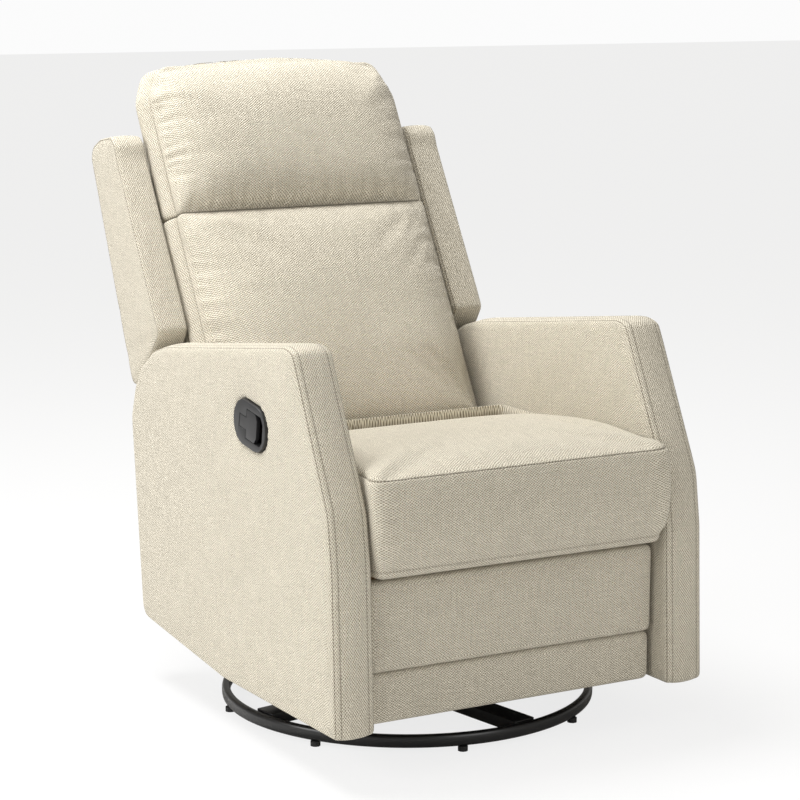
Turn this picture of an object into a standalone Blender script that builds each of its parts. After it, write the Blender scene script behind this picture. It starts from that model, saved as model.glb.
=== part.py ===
# Swivel glider recliner for a nursery, upholstered, on a round steel base.
# Metres, +Z up. The sitter faces -Y, and "left" is -X. The origin is on the floor, under the middle
# of the chair's overall size, and the swivel axis stands a little in front of it.
import bpy
import bmesh
from math import cos, sin, pi, radians, sqrt
from mathutils import Vector

for old in list(bpy.data.objects):
    bpy.data.objects.remove(old, do_unlink=True)

# ---- driving dimensions: overall ----
chairWidth = 0.670
armThickness = 0.070
armBottom = 0.077
armFront = -0.372          # the front of the arms, measured from the swivel axis
armRear = 0.371
armTopFront = 0.647        # height of the arm at its front top corner
armTopRear = 0.590
kneeHeight = 0.415         # where the upright front of the arm starts to lean back
seatTop = 0.498
seatBottom = 0.308
seatCornerHeight = 0.463   # top seam along the seat's front edge
backLean = 29.4            # degrees from upright, of the cushions' front
creaseHeight = 0.800       # between the lumbar cushion and the head cushion
backTop = 1.047

# ---- gaps and clearances ----
seatGap = 0.0003           # between pieces that rest on each other
plateGap = 0.0005          # between moving plates
softGap = 0.003            # between upholstered pieces
pinClearance = 0.0003
weldGap = 0.0009           # between the round base tube and the ends of the cross bars
moveGap = 0.0055           # between the arms and what moves between them

# ---- steel sizes ----
plate = 0.0035             # mechanism plates
pinRadius = 0.006
ringRadius = 0.304
ringWidth = 0.014
ringHeight = 0.022
footHeight = 0.0077
footRadius = 0.008
barWidth = 0.040
barHeight = 0.020
hubRadius = 0.075
hubHeight = 0.0105
kingpinRadius = 0.008
swivelPlateThickness = 0.005
baseTurn = 9.5             # degrees that the base is turned from the chair

# ---- glide mechanism, measured from the swivel axis ----
glideLink = 0.140
glidePivotHeight = 0.225
glidePivotFront = -0.110
glidePivotRear = 0.150
glideTravel = 0.036
bracketInner = 0.170       # inner face of the upright brackets on the swivel plate
crossTube = 0.020
crossTubeFront = 0.030
crossTubeRear = 0.190

# ---- leg rest mechanism ----
legPivotY = -0.130
legPivotZ = 0.262
guideOffset = 0.070        # from the drive link's pivot back to the guide link's
legLink = 0.180
legLinkStart = 300.0       # degrees from +Y towards +Z, when the leg rest is folded
linkWidth = 0.024
legPanelPivotY = -0.290
legPanelPivotZ = 0.190
torqueTube = 0.012
footrestSetback = 0.027    # behind the front of the arms
footrestThickness = 0.040
footrestTop = 0.302
footrestBoard = 0.010

# ---- backrest ----
reclinePivotY = 0.205
reclinePivotZ = 0.335
lineY = 0.151              # the cushions' front seam passes here
lineZ = 0.440
wingThickness = 0.0617
wingOuter = 0.322
postWidth = 0.030
postOuter = 0.235
headBoardHalf = 0.190
backCushionDepth = 0.060
rearDepthTop = 0.137       # depth of the back behind the seam line, by the wings' top
rearDepthBottom = 0.181
panelThickness = 0.008
postTop = 0.520
headTop = 0.655

# ---- release handle in the left arm ----
handleY = -0.0995
handleZ = 0.5095
handleHalfLength = 0.0555
handleHalfHeight = 0.036
handleTilt = 8.0           # degrees, front end lower
handleProud = 0.003
handleDepth = 0.0225
neckHalf = 0.0105
paddleHalf = 0.024
paddleGap = 0.0008
paddleThickness = 0.006
handlePinRadius = 0.0015
cableRadius = 0.0025

# ---- values that follow from the ones above ----
outerX = chairWidth / 2
innerX = outerX - armThickness
seatHalf = innerX - softGap
sideOuter = innerX - 0.0225
sideInner = sideOuter - plate
ringBottom = footHeight + seatGap
swivelPlateBottom = ringBottom + 0.003 + barHeight + hubHeight + 3 * seatGap + plateGap
swivelPlateTop = swivelPlateBottom + swivelPlateThickness
seatRailTop = seatBottom - plateGap
seatRailBottom = seatRailTop - 0.0275
sideTop = seatRailBottom - plateGap
seatRear = 0.1205
lean = radians(backLean)
panelFrontY = armFront + footrestSetback
headTopReach = (backTop - lineZ) / cos(lean) + 0.014


def backPoint(x, reach, depth):
    """A point on the leaning back: reach runs up the seam line, depth goes behind it."""
    y = lineY + reach * sin(lean) + depth * cos(lean)
    z = lineZ + reach * cos(lean) - depth * sin(lean)
    return Vector((x, y, z))


def rearDepth(reach):
    slope = (rearDepthTop - rearDepthBottom) / (0.5975 - 0.171)
    return rearDepthBottom + slope * (reach - 0.171)


creaseReach = (creaseHeight - lineZ) / cos(lean)
rearmost = backPoint(0, headTop + 0.018, rearDepth(headTop) - 0.006).y
originShift = -(armFront + rearmost) / 2


def makeMaterial(name, colour, roughness, metallic):
    material = bpy.data.materials.new(name)
    material.use_nodes = True
    shader = material.node_tree.nodes["Principled BSDF"]
    shader.inputs["Base Color"].default_value = (*colour, 1)
    shader.inputs["Roughness"].default_value = roughness
    shader.inputs["Metallic"].default_value = metallic
    return material


fabric = makeMaterial("oatmeal_fabric", (0.62, 0.57, 0.47), 0.95, 0.0)
blackSteel = makeMaterial("black_steel", (0.012, 0.012, 0.013), 0.35, 0.6)
zincSteel = makeMaterial("zinc_steel", (0.55, 0.56, 0.58), 0.35, 1.0)
pine = makeMaterial("pine", (0.62, 0.45, 0.27), 0.7, 0.0)
greyPlastic = makeMaterial("charcoal_plastic", (0.07, 0.07, 0.075), 0.5, 0.0)
blackRubber = makeMaterial("black_rubber", (0.015, 0.015, 0.015), 0.8, 0.0)


def makePivot(name, y, z, parent=None):
    """An empty on a joint's axis. What moves on the joint hangs under it."""
    pivot = bpy.data.objects.new(name, None)
    bpy.context.scene.collection.objects.link(pivot)
    pivot.location = (0, y, z)
    pivot["chairPlace"] = (0.0, y, z)
    if parent is not None:
        pivot.parent = parent
        pivot.location = Vector((0, y, z)) - Vector(parent["chairPlace"])
    return pivot


chairOrigin = makePivot("chair_origin", 0, 0)
chairOrigin.location = (0, originShift, 0)
basePivot = makePivot("base_pivot", 0, 0, chairOrigin)
basePivot.rotation_euler = (0, 0, radians(baseTurn))
swivelPivot = makePivot("swivel_pivot", 0, 0, chairOrigin)
carrierPivot = makePivot("carrier_pivot", 0, 0, swivelPivot)
glideFrontPivot = makePivot("glide_front_pivot", glidePivotFront, glidePivotHeight, swivelPivot)
glideRearPivot = makePivot("glide_rear_pivot", glidePivotRear, glidePivotHeight, swivelPivot)
drivePivot = makePivot("leg_drive_pivot", legPivotY, legPivotZ, carrierPivot)
guidePivot = makePivot("leg_guide_pivot", legPivotY + guideOffset, legPivotZ, carrierPivot)
elbowY = legPivotY + legLink * cos(radians(legLinkStart))
elbowZ = legPivotZ + legLink * sin(radians(legLinkStart))
elbowPivot = makePivot("leg_elbow_pivot", elbowY, elbowZ, drivePivot)
footrestPivot = makePivot("footrest_pivot", legPanelPivotY, legPanelPivotZ, elbowPivot)
reclinePivot = makePivot("recline_pivot", reclinePivotY, reclinePivotZ, carrierPivot)


def finishObject(name, bm, material, pivot):
    bmesh.ops.recalc_face_normals(bm, faces=bm.faces)
    mesh = bpy.data.meshes.new(name)
    bm.to_mesh(mesh)
    bm.free()
    piece = bpy.data.objects.new(name, mesh)
    bpy.context.scene.collection.objects.link(piece)
    if material is not None:
        mesh.materials.append(material)
    piece.parent = pivot
    piece.location = -Vector(pivot["chairPlace"])
    return piece


def between(name, loopA, loopB, material, pivot):
    """A closed solid between two loops that have the same number of points."""
    bm = bmesh.new()
    ringA = [bm.verts.new(point) for point in loopA]
    ringB = [bm.verts.new(point) for point in loopB]
    bm.faces.new(ringA)
    bm.faces.new(ringB)
    for i in range(len(ringA)):
        j = (i + 1) % len(ringA)
        bm.faces.new((ringA[i], ringA[j], ringB[j], ringB[i]))
    return finishObject(name, bm, material, pivot)


def sidePrism(name, outline, xA, xB, material, pivot):
    """An outline of (y, z) points, pulled along X."""
    loopA = [(xA, y, z) for y, z in outline]
    loopB = [(xB, y, z) for y, z in outline]
    return between(name, loopA, loopB, material, pivot)


def block(name, low, high, material, pivot):
    outline = [(low[1], low[2]), (high[1], low[2]), (high[1], high[2]), (low[1], high[2])]
    return sidePrism(name, outline, low[0], high[0], material, pivot)


def circle(y, z, radius, sides=16):
    return [(y + radius * cos(2 * pi * i / sides), z + radius * sin(2 * pi * i / sides)) for i in range(sides)]


def stadium(start, end, radius, sides=8):
    """Round-ended strip between two (y, z) points."""
    along = Vector((end[0] - start[0], end[1] - start[1])).normalized()
    across = Vector((-along.y, along.x))
    points = []
    for centre, first in ((start, 1), (end, -1)):
        for i in range(sides + 1):
            turn = pi * i / sides
            step = first * (across * cos(turn) - along * sin(turn)) * radius
            points.append((centre[0] + step.x, centre[1] + step.y))
    return points


def soften(piece, width, segments=2):
    bevel = piece.modifiers.new("soft_edges", "BEVEL")
    bevel.width = width
    bevel.segments = segments
    bevel.limit_method = "ANGLE"
    bevel.angle_limit = radians(50)
    piece.data.shade_smooth()
    piece.data.set_sharp_from_angle(angle=radians(50))


def combine(piece, helper, operation):
    helper.hide_render = True
    helper.display_type = "WIRE"
    modifier = piece.modifiers.new(helper.name, "BOOLEAN")
    modifier.operation = operation
    modifier.solver = "EXACT"
    modifier.object = helper


# ---- round steel base, on eight feet ----
def buildBase():
    bm = bmesh.new()
    corners = 10
    for i in range(corners):
        turn = 2 * pi * i / corners
        bm.verts.new((ringRadius + ringWidth / 2 * cos(turn), 0, ringBottom + ringHeight / 2 * (1 + sin(turn))))
    bm.verts.ensure_lookup_table()
    section = [bm.edges.new((bm.verts[i], bm.verts[(i + 1) % corners])) for i in range(corners)]
    bmesh.ops.spin(bm, geom=list(bm.verts) + section, cent=(0, 0, 0), axis=(0, 0, 1), angle=2 * pi,
                   steps=56, use_merge=True)
    bmesh.ops.remove_doubles(bm, verts=bm.verts, dist=0.00001)
    ring = finishObject("base_ring", bm, blackSteel, basePivot)
    ring.data.shade_smooth()

    reach = sqrt((ringRadius - ringWidth / 2 - weldGap) ** 2 - (barWidth / 2) ** 2)
    half = barWidth / 2
    corner = [(reach, -half), (reach, half), (half, half)]
    outline = []
    for quarter in range(4):
        turn = pi / 2 * quarter
        outline += [(x * cos(turn) - y * sin(turn), x * sin(turn) + y * cos(turn)) for x, y in corner]
    barBottom = ringBottom + 0.003
    low = [(x, y, barBottom) for x, y in outline]
    high = [(x, y, barBottom + barHeight) for x, y in outline]
    between("base_cross", low, high, blackSteel, basePivot)

    hubBottom = barBottom + barHeight + seatGap
    low = [(x, y, hubBottom) for x, y in circle(0, 0, hubRadius, 32)]
    high = [(x, y, hubBottom + hubHeight) for x, y in circle(0, 0, hubRadius, 32)]
    hub = between("swivel_hub", low, high, zincSteel, basePivot)
    bore = circle(0, 0, kingpinRadius + pinClearance, 16)
    cutter = between("hub_bore", [(x, y, hubBottom - 0.01) for x, y in bore],
                     [(x, y, hubBottom + 0.03) for x, y in bore], None, basePivot)
    combine(hub, cutter, "DIFFERENCE")

    for number in range(8):
        turn = 2 * pi * (number + 0.5) / 8
        centre = (ringRadius * cos(turn), ringRadius * sin(turn))
        outline = circle(*centre, footRadius, 12)
        between("foot_%d" % (number + 1), [(x, y, 0) for x, y in outline],
                [(x, y, footHeight) for x, y in outline], blackRubber, basePivot)


# ---- turning platform with the upright brackets that the chair hangs from ----
def buildSwivel():
    platform = block("swivel_plate", (-0.190, -0.140, swivelPlateBottom), (0.190, 0.180, swivelPlateTop),
                     blackSteel, swivelPivot)
    bore = circle(0, 0, kingpinRadius + pinClearance, 16)
    cutter = between("platform_bore", [(x, y, 0) for x, y in bore], [(x, y, 0.1) for x, y in bore],
                     None, swivelPivot)
    combine(platform, cutter, "DIFFERENCE")

    pinBottom = ringBottom + 0.003 + barHeight + 5 * seatGap
    shank = circle(0, 0, kingpinRadius, 16)
    kingpin = between("kingpin", [(x, y, pinBottom) for x, y in shank],
                      [(x, y, swivelPlateTop + 0.004) for x, y in shank], zincSteel, swivelPivot)
    head = circle(0, 0, kingpinRadius * 1.8, 6)
    cap = between("kingpin_head", [(x, y, swivelPlateTop + seatGap) for x, y in head],
                  [(x, y, swivelPlateTop + 0.007) for x, y in head], None, swivelPivot)
    combine(kingpin, cap, "UNION")

    bottom = swivelPlateTop + seatGap
    top = glidePivotHeight + pinRadius + 0.0015
    for side, name in ((-1, "left"), (1, "right")):
        front = glidePivotFront
        rear = glidePivotRear
        outline = [(front - 0.028, bottom), (rear + 0.028, bottom), (rear + 0.010, top), (rear - 0.010, top),
                   (rear - 0.030, top - 0.040), (front + 0.030, top - 0.040), (front + 0.010, top),
                   (front - 0.010, top)]
        bracket = sidePrism("glide_bracket_" + name, outline, side * bracketInner,
                            side * (bracketInner + plate), blackSteel, swivelPivot)
        for y, end in ((front, "front"), (rear, "rear")):
            hole = sidePrism("bracket_hole_%s_%s" % (name, end),
                             circle(y, glidePivotHeight, pinRadius * 0.6 + pinClearance, 12),
                             side * (bracketInner - 0.01), side * (bracketInner + 0.02), None, swivelPivot)
            combine(bracket, hole, "DIFFERENCE")


# ---- links that hang from the brackets and carry the chair ----
def buildGlideLinks():
    linkOuter = bracketInner - plateGap
    linkInner = linkOuter - plate
    small = pinRadius * 0.6
    low = glidePivotHeight - glideLink
    for end, y, pivot in (("front", glidePivotFront, glideFrontPivot), ("rear", glidePivotRear, glideRearPivot)):
        for side, name in ((-1, "left"), (1, "right")):
            outline = stadium((y, low), (y, glidePivotHeight), 0.010, 6)
            link = sidePrism("glide_link_%s_%s" % (end, name), outline, side * linkInner, side * linkOuter,
                             zincSteel, pivot)
            upper = sidePrism("upper_pin_%s_%s" % (end, name), circle(y, glidePivotHeight, small, 12),
                              side * (linkOuter - 0.001), side * (bracketInner + plate + 0.002), None, pivot)
            lower = sidePrism("lower_pin_%s_%s" % (end, name), circle(y, low, small, 12),
                              side * (linkInner + 0.001), side * (linkInner - plate - 0.003), None, pivot)
            combine(link, upper, "UNION")
            combine(link, lower, "UNION")


# ---- steel frame under the seat ----
def buildCarrier():
    hangerOuter = bracketInner - 2 * plateGap - plate
    low = glidePivotHeight - glideLink
    rise = glideLink - sqrt(glideLink ** 2 - glideTravel ** 2)
    tubeBottom = glidePivotHeight + pinRadius + 0.0045
    small = pinRadius * 0.6 + pinClearance
    for side, name in ((-1, "left"), (1, "right")):
        outline = [(glidePivotFront - 0.018, low - 0.012), (glidePivotRear + 0.018, low - 0.012),
                   (crossTubeRear + 0.012, low + 0.030), (crossTubeRear + 0.012, tubeBottom - seatGap),
                   (crossTubeFront - 0.022, tubeBottom - seatGap), (glidePivotFront - 0.018, low + 0.022)]
        hanger = sidePrism("glide_hanger_" + name, outline, side * (hangerOuter - plate), side * hangerOuter,
                           blackSteel, carrierPivot)
        for y, end in ((glidePivotFront, "front"), (glidePivotRear, "rear")):
            slot = sidePrism("hanger_slot_%s_%s" % (name, end),
                             stadium((y, low), (y, low + rise + 0.0005), small + 0.0003, 6),
                             side * (hangerOuter - 0.01), side * (hangerOuter + 0.01), None, carrierPivot)
            combine(hanger, slot, "DIFFERENCE")

        outline = [(-0.160, sideTop), (-0.160, 0.240), (-0.105, 0.222), (crossTubeRear + 0.045, 0.222),
                   (crossTubeRear + 0.045, reclinePivotZ + 0.010), (reclinePivotY + 0.020, reclinePivotZ + 0.020),
                   (reclinePivotY - 0.020, reclinePivotZ + 0.020), (reclinePivotY - 0.040, reclinePivotZ),
                   (reclinePivotY - 0.040, sideTop)]
        sidePlate = sidePrism("mechanism_plate_" + name, outline, side * sideInner, side * sideOuter,
                              blackSteel, carrierPivot)
        places = {"drive": (legPivotY, legPivotZ), "guide": (legPivotY + guideOffset, legPivotZ),
                  "recline": (reclinePivotY, reclinePivotZ)}
        for use, (y, z) in places.items():
            hole = sidePrism("plate_hole_%s_%s" % (name, use), circle(y, z, pinRadius + pinClearance, 16),
                             side * (sideInner - 0.01), side * (sideOuter + 0.01), None, carrierPivot)
            combine(sidePlate, hole, "DIFFERENCE")

    tubeHalf = sideInner - seatGap
    for y, end in ((crossTubeFront, "front"), (crossTubeRear, "rear")):
        block("cross_tube_" + end, (-tubeHalf, y - crossTube / 2, tubeBottom),
              (tubeHalf, y + crossTube / 2, tubeBottom + crossTube), blackSteel, carrierPivot)


# ---- wooden seat rails and the wire springs between them ----
def buildSeat():
    railHalf = innerX - seatGap
    frontRail = (-0.295, -0.265)
    rearRail = (seatRear - 0.0355, seatRear - 0.0025)
    for (yA, yB), name in ((frontRail, "front"), (rearRail, "rear")):
        block("seat_rail_" + name, (-railHalf, yA, seatRailBottom), (railHalf, yB, seatRailTop), pine, carrierPivot)

    waves = 7
    steps = 48
    yStart = frontRail[1] + 0.0021
    yEnd = rearRail[0] - 0.0021
    for number, x in enumerate((-0.130, 0.0, 0.130)):
        curve = bpy.data.curves.new("seat_spring_%d" % (number + 1), "CURVE")
        curve.dimensions = "3D"
        spline = curve.splines.new("POLY")
        spline.points.add(steps)
        for i in range(steps + 1):
            part = i / steps
            sway = 0.022 * sin(2 * pi * waves * part)
            spline.points[i].co = (x + sway, yStart + (yEnd - yStart) * part, seatRailTop - 0.006, 1)
        curve.bevel_depth = 0.0018
        curve.bevel_resolution = 1
        curve.use_fill_caps = True
        spring = bpy.data.objects.new(curve.name, curve)
        bpy.context.scene.collection.objects.link(spring)
        curve.materials.append(zincSteel)
        spring.parent = carrierPivot

    outline = [(armFront + 0.030, seatBottom), (armFront + 0.006, seatBottom + 0.022), (armFront, seatBottom + 0.065),
               (armFront + 0.002, seatCornerHeight - 0.035), (armFront + 0.022, seatCornerHeight + 0.005),
               (armFront + 0.110, seatTop - 0.004), (armFront + 0.200, seatTop), (-0.040, seatTop - 0.006),
               (seatRear, seatCornerHeight - 0.008), (seatRear, seatBottom)]
    cushion = sidePrism("seat_cushion", outline, -seatHalf, seatHalf, fabric, carrierPivot)
    soften(cushion, 0.016)


# ---- padded arms ----
def armOutline():
    leanTop = armFront + 0.135
    return [(armFront, armBottom), (armFront + 0.010, 0.330), (armFront + 0.022, kneeHeight),
            (leanTop - 0.018, armTopFront - 0.037), (leanTop - 0.002, armTopFront - 0.006),
            (leanTop + 0.024, armTopFront), (armRear - 0.150, armTopRear), (armRear - 0.095, armTopRear - 0.016),
            (armRear - 0.050, armTopRear - 0.045), (armRear - 0.019, armTopRear - 0.085), (armRear, armTopRear - 0.140),
            (armRear - 0.035, armBottom + 0.029), (0.020, armBottom - 0.003)]


def handlePoint(along, up):
    """A (y, z) place on the tilted handle, from its centre: along is to the rear."""
    turn = radians(handleTilt)
    return (handleY + along * cos(turn) - up * sin(turn), handleZ + along * sin(turn) + up * cos(turn))


def handleLoop(grow):
    half = handleHalfHeight + grow
    reach = handleHalfLength - handleHalfHeight
    return stadium(handlePoint(-reach, 0), handlePoint(reach, 0), half, 10)


def buildArms():
    for side, name in ((-1, "left"), (1, "right")):
        arm = sidePrism("arm_" + name, armOutline(), side * innerX, side * outerX, fabric, carrierPivot)
        soften(arm, 0.010)
        if side < 0:
            pocket = sidePrism("handle_pocket", handleLoop(seatGap), -outerX - 0.01,
                               -outerX - handleProud + handleDepth + seatGap, None, carrierPivot)
            shaft = block("cable_shaft", (-0.305, -0.105, 0.262), (-0.293, -0.093, 0.500), None, carrierPivot)
            exitHole = block("cable_exit", (-0.3045, -0.1045, 0.2625), (-0.255, -0.0935, 0.3060), None, carrierPivot)
            for cutter in (pocket, shaft, exitHole):
                combine(arm, cutter, "DIFFERENCE")


# ---- pull handle, its bezel, pin and release cable ----
def buildHandle():
    face = -outerX - handleProud
    bezel = sidePrism("handle_bezel", handleLoop(0), face, face + handleDepth, greyPlastic, carrierPivot)
    rear = 0.0355
    neckFront = 0.0115
    front = -0.0455
    cavity = [(rear, neckHalf), (neckFront, neckHalf), (neckFront, paddleHalf), (front + 0.008, paddleHalf),
              (front, paddleHalf - 0.010), (front, -paddleHalf + 0.010), (front + 0.008, -paddleHalf),
              (neckFront, -paddleHalf), (neckFront, -neckHalf), (rear, -neckHalf)]
    cutter = sidePrism("handle_cavity", [handlePoint(*point) for point in cavity], face - 0.01,
                       face + handleDepth - 0.003, None, carrierPivot)
    combine(bezel, cutter, "DIFFERENCE")
    outlet = block("cable_outlet", (-0.3035, -0.1035, 0.4950), (-0.2945, -0.0945, 0.5050), None, carrierPivot)
    outlet.location.x -= 0.016
    combine(bezel, outlet, "DIFFERENCE")

    gap = paddleGap
    paddleFront = -0.0245
    pinAlong = rear - 0.0050
    outline = [(rear - 0.0016, neckHalf - gap), (neckFront - gap, neckHalf - gap), (neckFront - gap, paddleHalf - gap),
               (paddleFront + 0.006, paddleHalf - gap), (paddleFront, paddleHalf - 0.010),
               (paddleFront, -paddleHalf + 0.010), (paddleFront + 0.006, -paddleHalf + gap),
               (neckFront - gap, -paddleHalf + gap), (neckFront - gap, -neckHalf + gap),
               (rear - 0.0016, -neckHalf + gap)]
    pinX = face + 0.0005 + paddleThickness / 2
    handlePivot = makePivot("handle_pivot", *handlePoint(pinAlong, 0), carrierPivot)
    paddle = sidePrism("release_paddle", [handlePoint(*point) for point in outline], face + 0.0005,
                       face + 0.0005 + paddleThickness, greyPlastic, handlePivot)
    turn = radians(handleTilt)
    for name, radius, half, target in (("paddle_bore", handlePinRadius + pinClearance, neckHalf + 0.01, handlePivot),
                                       ("handle_pin", handlePinRadius, neckHalf - seatGap, carrierPivot)):
        centre = handlePoint(pinAlong, 0)
        loops = []
        for up in (-half, half):
            loop = []
            for across, along in circle(0, 0, radius, 12):
                loop.append((pinX + across, centre[0] + along * cos(turn) - up * sin(turn),
                             centre[1] + along * sin(turn) + up * cos(turn)))
            loops.append(loop)
        rod = between(name, loops[0], loops[1], zincSteel, target)
        if name == "paddle_bore":
            combine(paddle, rod, "DIFFERENCE")

    curve = bpy.data.curves.new("release_cable", "CURVE")
    curve.dimensions = "3D"
    spline = curve.splines.new("POLY")
    route = [Vector((-0.299, -0.099, 0.486)), Vector((-0.299, -0.099, 0.300))]
    bend = 0.032
    for i in range(1, 9):
        turn = pi / 2 * i / 8
        route.append(Vector((-0.299 + bend * (1 - cos(turn)), -0.099, 0.300 - bend * sin(turn))))
    route.append(Vector((-sideOuter - seatGap, -0.099, 0.268)))
    spline.points.add(len(route) - 1)
    for i, point in enumerate(route):
        spline.points[i].co = (*point, 1)
    curve.bevel_depth = cableRadius
    curve.bevel_resolution = 2
    curve.use_fill_caps = True
    cable = bpy.data.objects.new("release_cable", curve)
    bpy.context.scene.collection.objects.link(cable)
    curve.materials.append(blackRubber)
    cable.parent = carrierPivot


# ---- leg rest: two parallel links a side, the long arm that they carry, and the padded panel ----
def buildLegRest():
    linkOuter = sideInner - plateGap
    linkInner = linkOuter - plate
    armOuter = linkInner - plateGap
    armInner = armOuter - plate
    bracketOuter = armInner - plateGap
    bracketFace = bracketOuter - plate
    half = linkWidth / 2
    drive = (legPivotY, legPivotZ)
    elbow = (elbowY, elbowZ)
    guide = (legPivotY + guideOffset, legPivotZ)
    guideEnd = (elbowY + guideOffset, elbowZ)
    panelPivot = (legPanelPivotY, legPanelPivotZ)
    for side, name in ((-1, "left"), (1, "right")):
        for use, top, end, pivot in (("drive", drive, elbow, drivePivot), ("guide", guide, guideEnd, guidePivot)):
            link = sidePrism("leg_%s_link_%s" % (use, name), stadium(end, top, half, 6), side * linkInner,
                             side * linkOuter, zincSteel, pivot)
            hub = sidePrism("%s_hub_%s" % (use, name), circle(*top, pinRadius), side * (linkOuter - 0.001),
                            side * (sideOuter + 0.002), None, pivot)
            pin = sidePrism("%s_pin_%s" % (use, name), circle(*end, pinRadius), side * (linkInner + 0.001),
                            side * (armInner - 0.001), None, pivot)
            combine(link, hub, "UNION")
            combine(link, pin, "UNION")

        outline = [(guideEnd[0] + half, elbowZ - 0.004), (guideEnd[0] + half, elbowZ + half),
                   (elbowY, elbowZ + half + 0.006), (legPanelPivotY + 0.006, legPanelPivotZ + half),
                   (legPanelPivotY - 0.012, legPanelPivotZ + 0.003), (legPanelPivotY - 0.006, legPanelPivotZ - half),
                   (elbowY - 0.020, elbowZ - 0.010), (elbowY + 0.010, elbowZ - half), (guideEnd[0] + 0.006, elbowZ - half)]
        arm = sidePrism("leg_arm_" + name, outline, side * armInner, side * armOuter, blackSteel, elbowPivot)
        for use, place in (("elbow", elbow), ("guide", guideEnd), ("panel", panelPivot)):
            hole = sidePrism("arm_hole_%s_%s" % (use, name), circle(*place, pinRadius + pinClearance),
                             side * (armInner - 0.01), side * (armOuter + 0.01), None, elbowPivot)
            combine(arm, hole, "DIFFERENCE")

        boardRear = panelFrontY + footrestThickness
        outline = [(boardRear + seatGap, legPanelPivotZ - 0.030), (legPanelPivotY + 0.010, legPanelPivotZ - 0.012),
                   (legPanelPivotY + 0.012, legPanelPivotZ + 0.008), (boardRear + seatGap, legPanelPivotZ + 0.030)]
        tab = sidePrism("footrest_bracket_" + name, outline, side * bracketFace, side * bracketOuter, blackSteel,
                        footrestPivot)
        pin = sidePrism("panel_pin_" + name, circle(*panelPivot, pinRadius), side * (bracketOuter - 0.001),
                        side * (armOuter + 0.0002), None, footrestPivot)
        combine(tab, pin, "UNION")

    tubeHalf = linkInner - seatGap
    block("leg_torque_tube", (-tubeHalf, legPivotY - torqueTube / 2, legPivotZ - torqueTube / 2),
          (tubeHalf, legPivotY + torqueTube / 2, legPivotZ + torqueTube / 2), zincSteel, drivePivot)

    panelHalf = innerX - moveGap - 0.001
    boardFront = panelFrontY + footrestThickness - footrestBoard
    block("footrest_board", (-panelHalf + 0.012, boardFront, armBottom + 0.010),
          (panelHalf - 0.012, boardFront + footrestBoard, footrestTop - 0.010), pine, footrestPivot)
    pad = block("footrest_pad", (-panelHalf, panelFrontY, armBottom), (panelHalf, boardFront - seatGap, footrestTop),
                fabric, footrestPivot)
    soften(pad, 0.008)


# ---- reclining back ----
def backPrism(name, outline, half, material):
    """An outline of (reach, depth) points, pulled across the back."""
    loopA = [backPoint(-half, *point) for point in outline]
    loopB = [backPoint(half, *point) for point in outline]
    return between(name, loopA, loopB, material, reclinePivot)


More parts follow.
